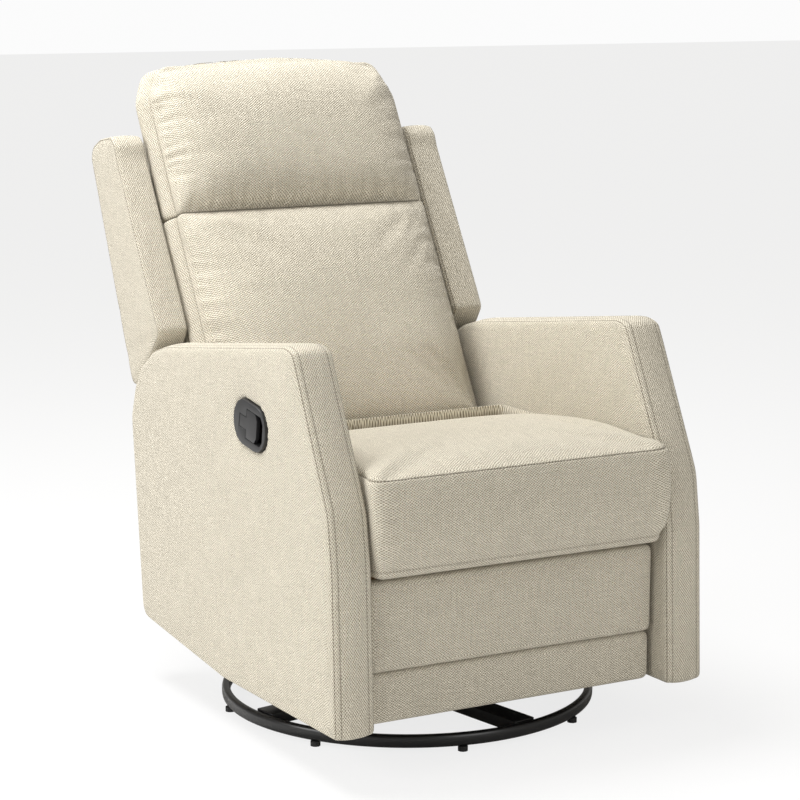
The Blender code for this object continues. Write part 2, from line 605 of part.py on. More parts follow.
def buildBack():
    cushionHalf = innerX - moveGap
    depth = backCushionDepth
    outline = [(-0.030, -0.012), (0.010, -0.026), (0.120, -0.034), (0.260, -0.030), (creaseReach - 0.030, -0.016),
               (creaseReach - 0.002, 0.016), (creaseReach - 0.002, depth), (-0.030, depth)]
    soften(backPrism("lumbar_cushion", outline, cushionHalf, fabric), 0.014)
    outline = [(creaseReach + 0.002, 0.016), (creaseReach + 0.026, -0.014), (creaseReach + 0.090, -0.032),
               (headTopReach - 0.090, -0.034), (headTopReach - 0.030, -0.018), (headTopReach - 0.004, 0.010),
               (headTopReach - 0.010, 0.040), (headTopReach - 0.030, depth), (creaseReach + 0.002, depth)]
    soften(backPrism("head_cushion", outline, cushionHalf - 0.003, fabric), 0.014)

    frameFront = depth + plateGap
    panelGap = panelThickness + 0.0005
    for side, name in ((-1, "left"), (1, "right")):
        outline = [(-0.020, frameFront), (postTop, frameFront), (postTop, rearDepth(postTop) - panelGap),
                   (-0.020, rearDepth(-0.020) - panelGap)]
        loopA = [backPoint(side * (postOuter - postWidth), *point) for point in outline]
        loopB = [backPoint(side * postOuter, *point) for point in outline]
        between("back_post_" + name, loopA, loopB, pine, reclinePivot)

        plateOuter = sideInner - plateGap
        upper = [backPoint(0, *point) for point in ((0.150, frameFront + 0.004), (0.150, frameFront + 0.034),
                                                    (0.010, frameFront + 0.044))]
        outline = [(reclinePivotY - 0.014, reclinePivotZ - 0.008), (reclinePivotY - 0.012, reclinePivotZ + 0.016)]
        outline += [(point.y, point.z) for point in upper]
        outline += [(reclinePivotY + 0.024, reclinePivotZ - 0.010), (reclinePivotY, reclinePivotZ - 0.016)]
        bracket = sidePrism("recline_bracket_" + name, outline, side * (postOuter + seatGap), side * plateOuter,
                            zincSteel, reclinePivot)
        pin = sidePrism("recline_pin_" + name, circle(reclinePivotY, reclinePivotZ, pinRadius),
                        side * (plateOuter - 0.001), side * (sideOuter + 0.002), None, reclinePivot)
        combine(bracket, pin, "UNION")

        inner = wingOuter - wingThickness
        outline = [(0.282, 0.603), (0.446, 0.884), (0.455, 0.908), (0.472, 0.921), (0.522, 0.914), (0.556, 0.898),
                   (0.564, 0.876), (0.404, 0.508), (0.392, 0.496), (0.368, 0.506), (0.306, 0.570)]
        wing = sidePrism("wing_" + name, outline, side * inner, side * wingOuter, fabric, reclinePivot)
        soften(wing, 0.010)

    railHalf = postOuter - postWidth - seatGap
    outline = [(-0.020, frameFront), (0.020, frameFront), (0.020, frameFront + 0.030), (-0.020, frameFront + 0.030)]
    backPrism("back_bottom_rail", outline, railHalf, pine)
    outline = [(postTop + seatGap, frameFront), (headTop, frameFront), (headTop, rearDepth(headTop) - panelGap),
               (postTop + seatGap, rearDepth(postTop) - panelGap)]
    backPrism("head_board", outline, headBoardHalf + 0.030, pine)
    outline = [(headTop + seatGap, frameFront), (headTop + 0.026, frameFront + 0.004), (headTop + 0.035, frameFront + 0.030),
               (headTop + 0.018, rearDepth(headTop) - 0.006), (headTop + seatGap, rearDepth(headTop))]
    backPrism("back_cap", outline, headBoardHalf, fabric)

    low = 0.020
    wide = innerX - moveGap + 0.0003
    outline = [(-wide, low), (wide, low), (wide, postTop), (headBoardHalf, postTop), (headBoardHalf, headTop),
               (-headBoardHalf, headTop), (-headBoardHalf, postTop), (-wide, postTop)]
    loopA = [backPoint(x, reach, rearDepth(reach) - panelThickness) for x, reach in outline]
    loopB = [backPoint(x, reach, rearDepth(reach)) for x, reach in outline]
    between("rear_panel", loopA, loopB, fabric, reclinePivot)


buildBase()
buildSwivel()
buildGlideLinks()
buildCarrier()
buildSeat()
buildArms()
buildHandle()
buildLegRest()
buildBack()
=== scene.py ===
# Glider nursery chair: upholstery, steel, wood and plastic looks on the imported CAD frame. Metres, Z up, front towards -Y.
import math

import bmesh
import bpy
import numpy as np
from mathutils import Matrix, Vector, geometry


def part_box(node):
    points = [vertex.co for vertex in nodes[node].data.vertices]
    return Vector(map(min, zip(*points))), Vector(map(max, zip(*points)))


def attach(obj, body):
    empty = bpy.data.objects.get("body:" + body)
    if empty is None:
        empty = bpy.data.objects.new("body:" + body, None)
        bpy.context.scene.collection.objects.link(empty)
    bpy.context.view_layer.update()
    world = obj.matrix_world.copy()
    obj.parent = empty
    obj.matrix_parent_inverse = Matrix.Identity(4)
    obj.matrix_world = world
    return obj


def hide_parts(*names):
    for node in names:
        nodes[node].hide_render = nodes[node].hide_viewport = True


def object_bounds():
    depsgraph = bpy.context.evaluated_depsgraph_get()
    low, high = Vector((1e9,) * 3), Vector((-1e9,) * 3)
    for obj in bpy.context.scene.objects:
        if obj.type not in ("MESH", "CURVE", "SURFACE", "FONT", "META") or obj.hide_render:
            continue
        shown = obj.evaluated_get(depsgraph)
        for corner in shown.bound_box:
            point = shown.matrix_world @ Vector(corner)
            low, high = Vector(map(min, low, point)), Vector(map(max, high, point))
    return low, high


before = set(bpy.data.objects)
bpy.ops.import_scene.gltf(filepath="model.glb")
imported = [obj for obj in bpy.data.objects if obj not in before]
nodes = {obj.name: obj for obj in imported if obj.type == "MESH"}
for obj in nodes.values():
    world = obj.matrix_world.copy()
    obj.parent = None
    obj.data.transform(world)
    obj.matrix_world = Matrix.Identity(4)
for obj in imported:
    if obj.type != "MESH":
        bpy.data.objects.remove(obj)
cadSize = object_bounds()
print("frame loaded")

ringLow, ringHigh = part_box("base_ring")
axisY = (ringLow.y + ringHigh.y) / 2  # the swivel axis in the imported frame
lean = math.radians(29.4)  # how far the back leans at rest
hinge = (0.151, 0.440)  # foot of the back cushion's seam line, from the swivel axis


# ---- outlines -------------------------------------------------------------------------------------------------------
def roundLoop(corners, radius, step):
    """A closed outline with rounded corners, as evenly spaced points."""
    dense = []
    count = len(corners)
    for i, corner in enumerate(corners):
        here = np.array(corner[:2], float)
        size = corner[2] if len(corner) > 2 else radius
        before = np.array(corners[i - 1][:2], float) - here
        after = np.array(corners[(i + 1) % count][:2], float) - here
        lengthBefore, lengthAfter = np.linalg.norm(before), np.linalg.norm(after)
        before, after = before / lengthBefore, after / lengthAfter
        angle = math.acos(float(np.clip(before @ after, -1, 1)))
        reach = min(size / math.tan(angle / 2), 0.48 * lengthBefore, 0.48 * lengthAfter)
        for t in np.linspace(0, 1, 9):
            start, end = here + before * reach, here + after * reach
            dense.append((1 - t) ** 2 * start + 2 * t * (1 - t) * here + t * t * end)
    dense = np.array(dense)
    closed = np.vstack([dense, dense[:1]])
    along = np.concatenate([[0], np.cumsum(np.linalg.norm(np.diff(closed, axis=0), axis=1))])
    number = max(12, int(round(along[-1] / step)))
    marks = np.linspace(0, along[-1], number, endpoint=False)
    loop = np.stack([np.interp(marks, along, closed[:, 0]), np.interp(marks, along, closed[:, 1])], 1)
    nextPoint = np.roll(loop, -1, 0)
    turn = np.sum(loop[:, 0] * nextPoint[:, 1] - nextPoint[:, 0] * loop[:, 1])
    return loop if turn > 0 else loop[::-1].copy()


def insetLoop(loop, amount):
    """The loop moved inwards by an amount."""
    run = np.roll(loop, -1, 0) - np.roll(loop, 1, 0)
    run /= np.linalg.norm(run, axis=1, keepdims=True)
    moved = loop + np.stack([-run[:, 1], run[:, 0]], 1) * amount
    if amount > 0.003:  # points that crossed over at a tight corner go back between their neighbours
        good = np.nonzero(loopDistance(moved, loop) > amount * 0.96)[0]
        marks = np.arange(len(loop))
        for axis in (0, 1):
            moved[:, axis] = np.interp(marks, good, moved[good, axis], period=len(loop))
    return moved


def loopDistance(points, loop, counted=None):
    """How far each point is from the closed loop, or from the edges of it that are counted."""
    ends = np.roll(loop, -1, 0)
    best = np.full(len(points), 1e9)
    for k, (a, b) in enumerate(zip(loop, ends)):
        if counted is not None and not counted[k]:
            continue
        edge = b - a
        t = np.clip(((points - a) @ edge) / max(edge @ edge, 1e-12), 0, 1)
        best = np.minimum(best, np.linalg.norm(points - (a + t[:, None] * edge), axis=1))
    return best


def lineDistance(points, a, b):
    """Distance from a segment, and how far along it, from 0 to 1."""
    a, b = np.array(a, float), np.array(b, float)
    edge = b - a
    t = ((points - a) @ edge) / (edge @ edge)
    near = a + np.clip(t, 0, 1)[:, None] * edge
    return np.linalg.norm(points - near, axis=1), t


def isInside(points, loop):
    inside = np.zeros(len(points), bool)
    for a, b in zip(loop, np.roll(loop, -1, 0)):
        crosses = (a[1] > points[:, 1]) != (b[1] > points[:, 1])
        at = a[0] + (points[:, 1] - a[1]) / ((b[1] - a[1]) or 1e-12) * (b[0] - a[0])
        inside ^= crosses & (points[:, 0] < at)
    return inside


# ---- padded pieces --------------------------------------------------------------------------------------------------
def fillLoop(loop, step, holes=()):
    """Evenly filled triangles inside a loop, with holes left open. The loop's own points come first."""
    low, high = loop.min(0), loop.max(0)
    rows = int((high[1] - low[1]) / (step * 0.866)) + 1
    spread = []
    for r in range(rows):
        offset = 0.5 * step * (r % 2)
        for a in np.arange(low[0] + offset, high[0], step):
            spread.append((a, low[1] + r * step * 0.866))
    spread = np.array(spread)
    keep = isInside(spread, loop) & (loopDistance(spread, loop) > step * 0.62)
    for hole in holes:
        keep &= (loopDistance(spread, hole) > step * 0.5) & ~isInside(spread, hole)
    points = [tuple(p) for p in loop]
    faces = [list(range(len(loop)))]
    for hole in holes:
        faces.append([len(points) + k for k in range(len(hole))])
        points += [tuple(p) for p in hole]
    points += [tuple(p) for p in spread[keep]]
    made = geometry.delaunay_2d_cdt([Vector(p) for p in points], [], faces, 0, 1e-7)
    origins = []
    for vertex, source in zip(made[0], made[3]):
        if source:
            origins.append(source[0])
        else:
            origins.append(len(points))
            points.append(tuple(vertex))
    points = np.array(points)
    triangles = np.array([[origins[k] for k in face] for face in made[2]])
    middles = points[triangles].mean(1)
    wanted = isInside(middles, loop)
    for hole in holes:
        wanted &= ~isInside(middles, hole)
    return points, [list(t) for t in triangles[wanted]]


def makePillow(name, loop, rings, place, step, holes=(), holeDepth=0.0, shrink=insetLoop):
    """A closed padded form: rings of (inset, level) from the back face to the front face, both faces filled.
    place turns arrays of (a, b, level, edge distance) into points; the last ring's face is the front."""
    count = len(loop)
    verts, info, faces, seats = [], [], [], []
    arc = np.concatenate([[0], np.cumsum(np.linalg.norm(np.diff(np.vstack([loop, loop[:1]]), axis=0), axis=1))])
    for inset, level in rings:
        ring = shrink(loop, inset)
        verts += [(p[0], p[1]) for p in ring]
        info += [(level, max(inset, 0.0))] * count
    for k in range(len(rings) - 1):
        for i in range(count):
            j = (i + 1) % count
            faces.append(([k * count + i, k * count + j, (k + 1) * count + j, (k + 1) * count + i], "band", (k, i)))
    for end, ringIndex in (("back", 0), ("front", len(rings) - 1)):
        inset, level = rings[ringIndex]
        ring = shrink(loop, inset)
        cut = holes if end == "front" else ()
        points, triangles = fillLoop(ring, step, cut)
        base = len(verts)
        extra = points[count:]
        verts += [(p[0], p[1]) for p in extra]
        far = loopDistance(extra, ring) + inset if len(extra) else []
        info += [(level, d) for d in far]
        for t in triangles:
            index = [ringIndex * count + k if k < count else base + k - count for k in t]
            faces.append((index[::-1] if end == "back" else index, end, None))
        if cut:
            start = base
            for hole in cut:
                size = len(hole)
                deep = len(verts)
                verts += [(p[0], p[1]) for p in hole]
                info += [(level - holeDepth, 0.2)] * size
                for i in range(size):
                    j = (i + 1) % size
                    faces.append(([start + i, start + j, deep + j, deep + i], "hole", None))
                faces.append(([deep + i for i in range(size)], "hole", None))
                start += size
    flat = np.array(verts)
    levels = np.array([i[0] for i in info], float)
    edge = np.array([i[1] for i in info], float)
    points = place(flat[:, 0], flat[:, 1], levels, edge)
    mesh = bpy.data.meshes.new(name)
    mesh.from_pydata([tuple(p) for p in points], [], [f[0] for f in faces])
    threads = mesh.uv_layers.new(name="threads")
    across = np.concatenate([[0], np.cumsum([math.dist(rings[k], rings[k + 1]) for k in range(len(rings) - 1)])])
    for polygon, (index, kind, where) in zip(mesh.polygons, faces):
        for corner, (loopIndex, vertex) in enumerate(zip(polygon.loop_indices, index)):
            if kind == "band":
                k, i = where
                uv = (arc[i + (1 if corner in (1, 2) else 0)], across[k + (1 if corner > 1 else 0)])
            else:
                uv = tuple(flat[vertex])
            threads.data[loopIndex].uv = uv
    mesh.update()
    made = bpy.data.objects.new(name, mesh)
    bpy.context.scene.collection.objects.link(made)
    bm = bmesh.new()
    bm.from_mesh(mesh)
    bmesh.ops.recalc_face_normals(bm, faces=bm.faces)
    bm.to_mesh(mesh)
    bm.free()
    mesh.polygons.foreach_set("use_smooth", [True] * len(mesh.polygons))
    return made, flat, levels, edge


def markSeams(piece, level, edge, seams):
    """Writes how close each point is to a stitched line, for the cover's material."""
    near = np.zeros(len(level))
    for at, inset, strength in seams:
        near = np.maximum(near, strength * (np.hypot(level - at, edge - max(inset, 0)) < 0.0006))
    made = piece.data.attributes.new("seam", "FLOAT", "POINT")
    made.data.foreach_set("value", near.astype(np.float32))


def makeFiner(piece, *carried):
    """Subdivides the mesh once for good, and carries each point's own values along."""
    for k, values in enumerate(carried):
        made = piece.data.attributes.new("carried%d" % k, "FLOAT", "POINT")
        made.data.foreach_set("value", np.asarray(values, np.float32))
    finer = piece.modifiers.new("finer", "SUBSURF")
    finer.levels = finer.render_levels = 1
    depsgraph = bpy.context.evaluated_depsgraph_get()
    mesh = bpy.data.meshes.new_from_object(piece.evaluated_get(depsgraph), preserve_all_data_layers=True, depsgraph=depsgraph)
    old = piece.data
    piece.modifiers.remove(finer)
    piece.data = mesh
    mesh.name = old.name
    bpy.data.meshes.remove(old)
    result = []
    for k in range(len(carried)):
        values = np.zeros(len(mesh.vertices), np.float32)
        mesh.attributes["carried%d" % k].data.foreach_get("value", values)
        result.append(values.astype(float))
    for k in range(len(carried)):
        mesh.attributes.remove(mesh.attributes["carried%d" % k])
    return result


def readPoints(piece):
    co = np.zeros(len(piece.data.vertices) * 3)
    piece.data.vertices.foreach_get("co", co)
    return co.reshape(-1, 3)


def readNormals(piece):
    normals = np.zeros(len(piece.data.vertices) * 3)
    piece.data.vertices.foreach_get("normal", normals)
    return normals.reshape(-1, 3)


def writePoints(piece, points):
    piece.data.vertices.foreach_set("co", points.reshape(-1))
    piece.data.update()


def puff(piece, pressure, cap, held, frames=16):
    """Swells a padded piece by cloth simulation, holding its seams, and applies the result."""
    start = readPoints(piece)
    group = piece.vertex_groups.new(name="seams")
    for k in np.nonzero(held > 0)[0]:
        group.add([int(k)], float(held[k]), "REPLACE")
    cloth = piece.modifiers.new("cloth", "CLOTH")
    cloth.settings.quality = 5
    cloth.settings.mass = 0.25
    cloth.settings.tension_stiffness = 12
    cloth.settings.compression_stiffness = 12
    cloth.settings.shear_stiffness = 4
    cloth.settings.bending_stiffness = 0.4
    cloth.settings.use_pressure = True
    cloth.settings.uniform_pressure_force = pressure
    cloth.settings.effector_weights.gravity = 0
    cloth.settings.vertex_group_mass = "seams"
    cloth.collision_settings.use_collision = False
    cloth.point_cache.frame_start, cloth.point_cache.frame_end = 1, frames
    scene = bpy.context.scene
    for now in range(1, frames + 1):
        scene.frame_set(now)
    depsgraph = bpy.context.evaluated_depsgraph_get()
    swollen = piece.evaluated_get(depsgraph).to_mesh()
    co = np.zeros(len(swollen.vertices) * 3)
    swollen.vertices.foreach_get("co", co)
    moved = co.reshape(-1, 3) - start
    far = np.linalg.norm(moved, axis=1, keepdims=True)
    moved *= np.minimum(1, cap * np.tanh(far / cap) / np.maximum(far, 1e-9))
    piece.modifiers.remove(cloth)
    piece.vertex_groups.remove(group)
    scene.frame_set(1)
    writePoints(piece, start + moved)


def finishPiece(piece, body, replaced, material, subdivide=0):
    piece.data.materials.clear()
    piece.data.materials.append(material)
    if subdivide:
        finer = piece.modifiers.new("finer", "SUBSURF")
        finer.levels = finer.render_levels = subdivide
        finer.boundary_smooth = "PRESERVE_CORNERS"
    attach(piece, body)
    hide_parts(*replaced)
    return piece


# ---- materials ------------------------------------------------------------------------------------------------------
def addNode(tree, kind, inputs=None, **settings):
    made = tree.nodes.new(kind)
    for key, value in settings.items():
        setattr(made, key, value)
    for key, value in (inputs or {}).items():
        if isinstance(value, bpy.types.NodeSocket):
            tree.links.new(value, made.inputs[key])
        else:
            made.inputs[key].default_value = value
    return made


def compute(tree, operation, first, second=None, third=None):
    values = {k: v for k, v in enumerate((first, second, third)) if v is not None}
    return addNode(tree, "ShaderNodeMath", values, operation=operation).outputs[0]


def makeGroup(name, inputs, outputs):
    tree = bpy.data.node_groups.new(name, "ShaderNodeTree")
    for label, kind, default in inputs:
        socket = tree.interface.new_socket(name=label, in_out="INPUT", socket_type=kind)
        if default is not None:
            socket.default_value = default
    for label, kind in outputs:
        tree.interface.new_socket(name=label, in_out="OUTPUT", socket_type=kind)
    return tree, tree.nodes.new("NodeGroupInput").outputs, tree.nodes.new("NodeGroupOutput").inputs


def makeWeave():
    """Plain weave of thick linen-like threads: a height, a painted shade that darkens the low places between the
    threads, and slubs, from a surface's own thread coordinates.
    """
    tree, given, out = makeGroup(
        "linenWeave",
        [("Threads", "NodeSocketVector", None), ("Warp", "NodeSocketFloat", 0.0027), ("Weft", "NodeSocketFloat", 0.0020)],
        [("Height", "NodeSocketFloat"), ("Shade", "NodeSocketFloat"), ("Slub", "NodeSocketFloat")],
    )
    wander = addNode(tree, "ShaderNodeTexNoise", {"Vector": given["Threads"], "Scale": 70.0, "Detail": 2.0})
    bend = addNode(tree, "ShaderNodeVectorMath", {0: wander.outputs["Color"], 1: (0.5, 0.5, 0.5)}, operation="SUBTRACT")
    small = addNode(tree, "ShaderNodeVectorMath", {0: bend.outputs[0], "Scale": 0.0042}, operation="SCALE")
    moved = addNode(tree, "ShaderNodeVectorMath", {0: given["Threads"], 1: small.outputs[0]}, operation="ADD")
    split = addNode(tree, "ShaderNodeSeparateXYZ", {0: moved.outputs[0]})
    waves = [compute(tree, "SINE", compute(tree, "MULTIPLY", compute(tree, "DIVIDE", split.outputs[k], given[label]), math.pi))
             for k, label in ((0, "Warp"), (1, "Weft"))]
    over = compute(tree, "MULTIPLY", waves[0], waves[1])  # one thread passes over the other, turn and turn about
    speck = addNode(tree, "ShaderNodeTexNoise", {"Vector": moved.outputs[0], "Scale": 640.0, "Detail": 2.0, "Roughness": 0.6})
    lines = []
    for scale in ((300.0, 22.0, 1.0), (22.0, 420.0, 1.0)):
        drawn = addNode(tree, "ShaderNodeMapping", {"Vector": given["Threads"], "Scale": scale})
        lines.append(addNode(tree, "ShaderNodeTexNoise", {"Vector": drawn.outputs[0], "Scale": 1.0, "Detail": 1.0}).outputs["Fac"])
    slub = compute(tree, "MULTIPLY", compute(tree, "ADD", lines[0], lines[1]), 0.5)
    height = compute(tree, "MULTIPLY_ADD", over, 0.40, 0.5)
    height = compute(tree, "MULTIPLY_ADD", compute(tree, "SUBTRACT", speck.outputs["Fac"], 0.5), 0.8, height)
    # painted shade: where the weave is low, between the threads, the shade goes towards the dark gap colour
    shade = addNode(tree, "ShaderNodeMapRange", {"Value": height, "From Min": 0.10, "From Max": 0.80}, interpolation_type="SMOOTHSTEP")
    tree.links.new(height, out["Height"])
    tree.links.new(shade.outputs[0], out["Shade"])
    tree.links.new(slub, out["Slub"])
    return tree


weave = makeWeave()


def newMaterial(name, slotName):
    material = bpy.data.materials.new(name)
    material.use_nodes = True
    material["slotName"] = slotName
    tree = material.node_tree
    return material, tree, tree.nodes["Principled BSDF"]


# the gap colour is painted shade that falls between the threads; thread is the threads' own colour
fabricLook = {
    "thread": (0.790, 0.735, 0.620, 1), "gap": (0.235, 0.205, 0.140, 1), "seam": (0.10, 0.080, 0.050, 1),
    "roughness": 0.92, "sheen": 0.15, "bump": 0.0017,
}


def makeFabric():
    material, tree, shader = newMaterial("oatmealLinen", "oatmeal_fabric")
    threads = addNode(tree, "ShaderNodeUVMap", uv_map="threads")
    cloth = addNode(tree, "ShaderNodeGroup", node_tree=weave)
    tree.links.new(threads.outputs[0], cloth.inputs["Threads"])
    place = addNode(tree, "ShaderNodeTexCoord")
    patch = addNode(tree, "ShaderNodeTexNoise", {"Vector": place.outputs["Object"], "Scale": 9.0, "Detail": 3.0})
    # raised threads keep their own colour, and the low places between them get the painted shade colour
    mixed = addNode(tree, "ShaderNodeMix", {0: cloth.outputs["Shade"], "A": fabricLook["gap"], "B": fabricLook["thread"]}, data_type="RGBA")
    tree.links.new(cloth.outputs["Shade"], mixed.inputs[0])
    for socket, colour in ((6, fabricLook["gap"]), (7, fabricLook["thread"])):
        mixed.inputs[socket].default_value = colour
    tone = compute(tree, "MULTIPLY_ADD", cloth.outputs["Slub"], 0.50, 0.75)
    tone = compute(tree, "MULTIPLY_ADD", compute(tree, "SUBTRACT", patch.outputs["Fac"], 0.5), 0.05, tone)
    toned = addNode(tree, "ShaderNodeVectorMath", {0: mixed.outputs[2], "Scale": tone}, operation="SCALE")
    seam = addNode(tree, "ShaderNodeAttribute", attribute_name="seam")
    along = addNode(tree, "ShaderNodeSeparateXYZ", {0: threads.outputs[0]})
    dash = compute(tree, "SINE", compute(tree, "MULTIPLY", along.outputs[0], 2 * math.pi / 0.0055))
    dash = addNode(tree, "ShaderNodeMapRange", {"Value": dash, "From Min": -0.5, "From Max": 0.2, "To Min": 0.35, "To Max": 1.0})
    line = addNode(tree, "ShaderNodeMapRange", {"Value": seam.outputs["Fac"], "From Min": 0.12, "From Max": 0.50})
    stitched = compute(tree, "MULTIPLY", line.outputs[0], dash.outputs[0])
    sewn = addNode(tree, "ShaderNodeMix", data_type="RGBA")
    tree.links.new(compute(tree, "MULTIPLY", stitched, 0.75), sewn.inputs[0])
    tree.links.new(toned.outputs[0], sewn.inputs[6])
    sewn.inputs[7].default_value = fabricLook["seam"]
    tree.links.new(sewn.outputs[2], shader.inputs["Base Color"])
    raised = addNode(tree, "ShaderNodeBump", {"Height": cloth.outputs["Height"], "Distance": fabricLook["bump"], "Strength": 0.8})
    tree.links.new(raised.outputs[0], shader.inputs["Normal"])
    shader.inputs["Roughness"].default_value = fabricLook["roughness"]
    shader.inputs["Sheen Weight"].default_value = fabricLook["sheen"]
    shader.inputs["Sheen Roughness"].default_value = 0.5
    shader.inputs["Specular IOR Level"].default_value = 0.2
    return material


def makeHard(name, slotName, colour, metal, rough, grain, depth=0.0002, stretch=(1, 1, 1), second=None):
    """Paint, plating, plastic or wood: one colour varied a little, with a fine uneven surface."""
    material, tree, shader = newMaterial(name, slotName)
    place = addNode(tree, "ShaderNodeTexCoord")
    drawn = addNode(tree, "ShaderNodeMapping", {"Vector": place.outputs["Object"], "Scale": stretch})
    noise = addNode(tree, "ShaderNodeTexNoise", {"Vector": drawn.outputs[0], "Scale": grain, "Detail": 4.0})
    mixed = addNode(tree, "ShaderNodeMix", data_type="RGBA")
    tree.links.new(noise.outputs["Fac"], mixed.inputs[0])
    mixed.inputs[6].default_value = (*colour, 1)
    mixed.inputs[7].default_value = (*(second or [c * 1.25 for c in colour]), 1)
    tree.links.new(mixed.outputs[2], shader.inputs["Base Color"])
    sheenRange = addNode(tree, "ShaderNodeMapRange", {"Value": noise.outputs["Fac"], "To Min": rough * 0.85, "To Max": rough * 1.15})
    tree.links.new(sheenRange.outputs[0], shader.inputs["Roughness"])
    raised = addNode(tree, "ShaderNodeBump", {"Height": noise.outputs["Fac"], "Distance": depth, "Strength": 0.5})
    tree.links.new(raised.outputs[0], shader.inputs["Normal"])
    shader.inputs["Metallic"].default_value = metal
    return material


fabric = makeFabric()
blackPaint = makeHard("blackPaint", "black_steel", (0.004, 0.004, 0.0045), 0.0, 0.30, 180, 0.0001)
zinc = makeHard("zincPlate", "zinc_steel", (0.50, 0.51, 0.52), 1.0, 0.34, 220, 0.0001)
pine = makeHard("pineWood", "pine", (0.52, 0.34, 0.17), 0.0, 0.6, 14, 0.0004, (1.0, 9.0, 9.0), (0.66, 0.47, 0.27))
charcoal = makeHard("charcoalPlastic", "charcoal_plastic", (0.020, 0.020, 0.021), 0.0, 0.42, 900, 0.00015)
rubber = makeHard("blackRubber", "black_rubber", (0.012, 0.012, 0.012), 0.0, 0.75, 600, 0.0002)
finishes = {"oatmeal_fabric": fabric, "black_steel": blackPaint, "zinc_steel": zinc, "pine": pine, "charcoal_plastic": charcoal, "black_rubber": rubber}
for label, item in nodes.items():
    names = [m.name if m else "" for m in item.data.materials]
    chosen = next((finishes[n.split(".")[0]] for n in names if n.split(".")[0] in finishes), None)
    if chosen is None:
        print("no finish for", label, names)
        chosen = zinc
    item.data.materials.clear()
    item.data.materials.append(chosen)
print("materials made")


# ---- arms -----------------------------------------------------------------------------------------------------------
def alongX(side, outer, crown, seamDepth, quiet=None):
    """Places a piece that is extruded across the chair: a is Y and b is Z, the level is the distance in from the outer face."""
    def place(a, b, level, edge):
        full = crown * (1 - np.exp(-np.maximum(edge - 0.004, 0) / 0.045))
        if quiet is not None:
            full = full * quiet(a, b)
        depth = level - np.where(level < seamDepth, full, 0) + np.where(level > seamDepth * 3, 0, 0)
        return np.stack([side * (outer - depth), a, b], 1)
    return place


armTop = -0.237  # Y of the arm's front edge where it meets its top
arm = {
    "outer": 0.335, "inner": 0.265, "corner": 0.012, "step": 0.0075, "crown": 0.0035,
    "outline": [
        (-0.372, 0.077, 0.006), (-0.362, 0.330, 0.060), (-0.350, 0.415, 0.090), (-0.255, 0.610, 0.030), (-0.239, 0.641, 0.012),
        (-0.213, 0.647, 0.020), (0.221, 0.590, 0.060), (0.276, 0.574, 0.050), (0.321, 0.545, 0.050), (0.352, 0.505, 0.050),
        (0.371, 0.450, 0.050), (0.336, 0.106, 0.030), (0.020, 0.074, 0.060),
    ],
}
handle = {"centre": (-0.0995, 0.5095), "halfLength": 0.0555, "halfHeight": 0.036, "tilt": math.radians(-8)}


def handleLoop(grow, number=56):
    """The bezel's outline, a stadium tipped forwards."""
    run = handle["halfLength"] - handle["halfHeight"]
    radius = handle["halfHeight"] + grow
    points = []
    for k in range(number):
        angle = 2 * math.pi * k / number
        along = radius * math.cos(angle) + (run if math.cos(angle) > 0 else -run)
        points.append((along, radius * math.sin(angle)))
    points = np.array(points)
    turn = -handle["tilt"]
    spin = np.array([[math.cos(turn), math.sin(turn)], [-math.sin(turn), math.cos(turn)]])
    return points @ spin + np.array(handle["centre"]) + np.array([0, 0])


def makeArm(name, node, side):
    loop = roundLoop(arm["outline"], arm["corner"], arm["step"])
    loop[:, 0] += axisY
    width = arm["outer"] - arm["inner"]
    middle = width / 2
    half = [(0.016, 0.0), (0.009, 0.0002), (0.0052, 0.0008), (0.0030, 0.0018), (0.0026, 0.0030), (0.0012, 0.0038),
            (0.0000, 0.0062), (-0.0009, 0.0095), (-0.0006, 0.0116), (-0.0016, 0.0138), (-0.0024, 0.0200), (-0.0030, 0.0280)]
    rings = [(i, width - d) for i, d in half] + [(-0.0032, middle)] + [(i, d) for i, d in half[::-1]]
    holes = ()
    if side < 0:
        hole = handleLoop(0.0004) + np.array([axisY, 0])
        holes = (hole,)

    def place(a, b, level, edge):
        crown = arm["crown"] * (1 - np.exp(-np.maximum(edge - 0.005, 0) / 0.05))
        if holes:
            near = loopDistance(np.stack([a, b], 1), holes[0])
            crown = np.where(level < middle, crown * (1 - np.exp(-(near / 0.028) ** 2)), crown)
        out = np.where(level < 0.002, -crown, np.where(level > width - 0.002, crown, 0))
        x = arm["outer"] - (level + out)
        return np.stack([side * x, a, b], 1)

    step = arm["step"] * 1.25
    piece, flat, level, edge = makePillow(name, loop, rings, place, step, holes, -0.024)
    points = readPoints(piece)
    normals = readNormals(piece)
    # soft unevenness of foam under the cover, none at the seams
    wave = np.sin(points[:, 1] * 21 + side) * np.sin(points[:, 2] * 17 + 0.6) * 0.0007 + np.sin(points[:, 2] * 43 + points[:, 1] * 31) * 0.00035
    points += normals * (wave * np.clip((edge - 0.01) / 0.05, 0, 1))[:, None]
    writePoints(piece, points)
    markSeams(piece, level, edge, [(0.0030, 0.0026, 0.9), (width - 0.0030, 0.0026, 0.9), (0.0116, 0, 0.5), (width - 0.0116, 0, 0.5)])
    return finishPiece(piece, "carrier", [node], fabric, 1)


armLeft = makeArm("armUpholsteryLeft", "arm_left", -1)
armRight = makeArm("armUpholsteryRight", "arm_right", 1)
print("arms made")


# ---- seat -----------------------------------------------------------------------------------------------------------
seat = {
    "halfWidth": 0.262, "front": -0.372, "rear": 0.1205, "bottom": 0.308, "seam": 0.460, "corner": 0.020, "step": 0.009,
    "bulge": 0.009,
}


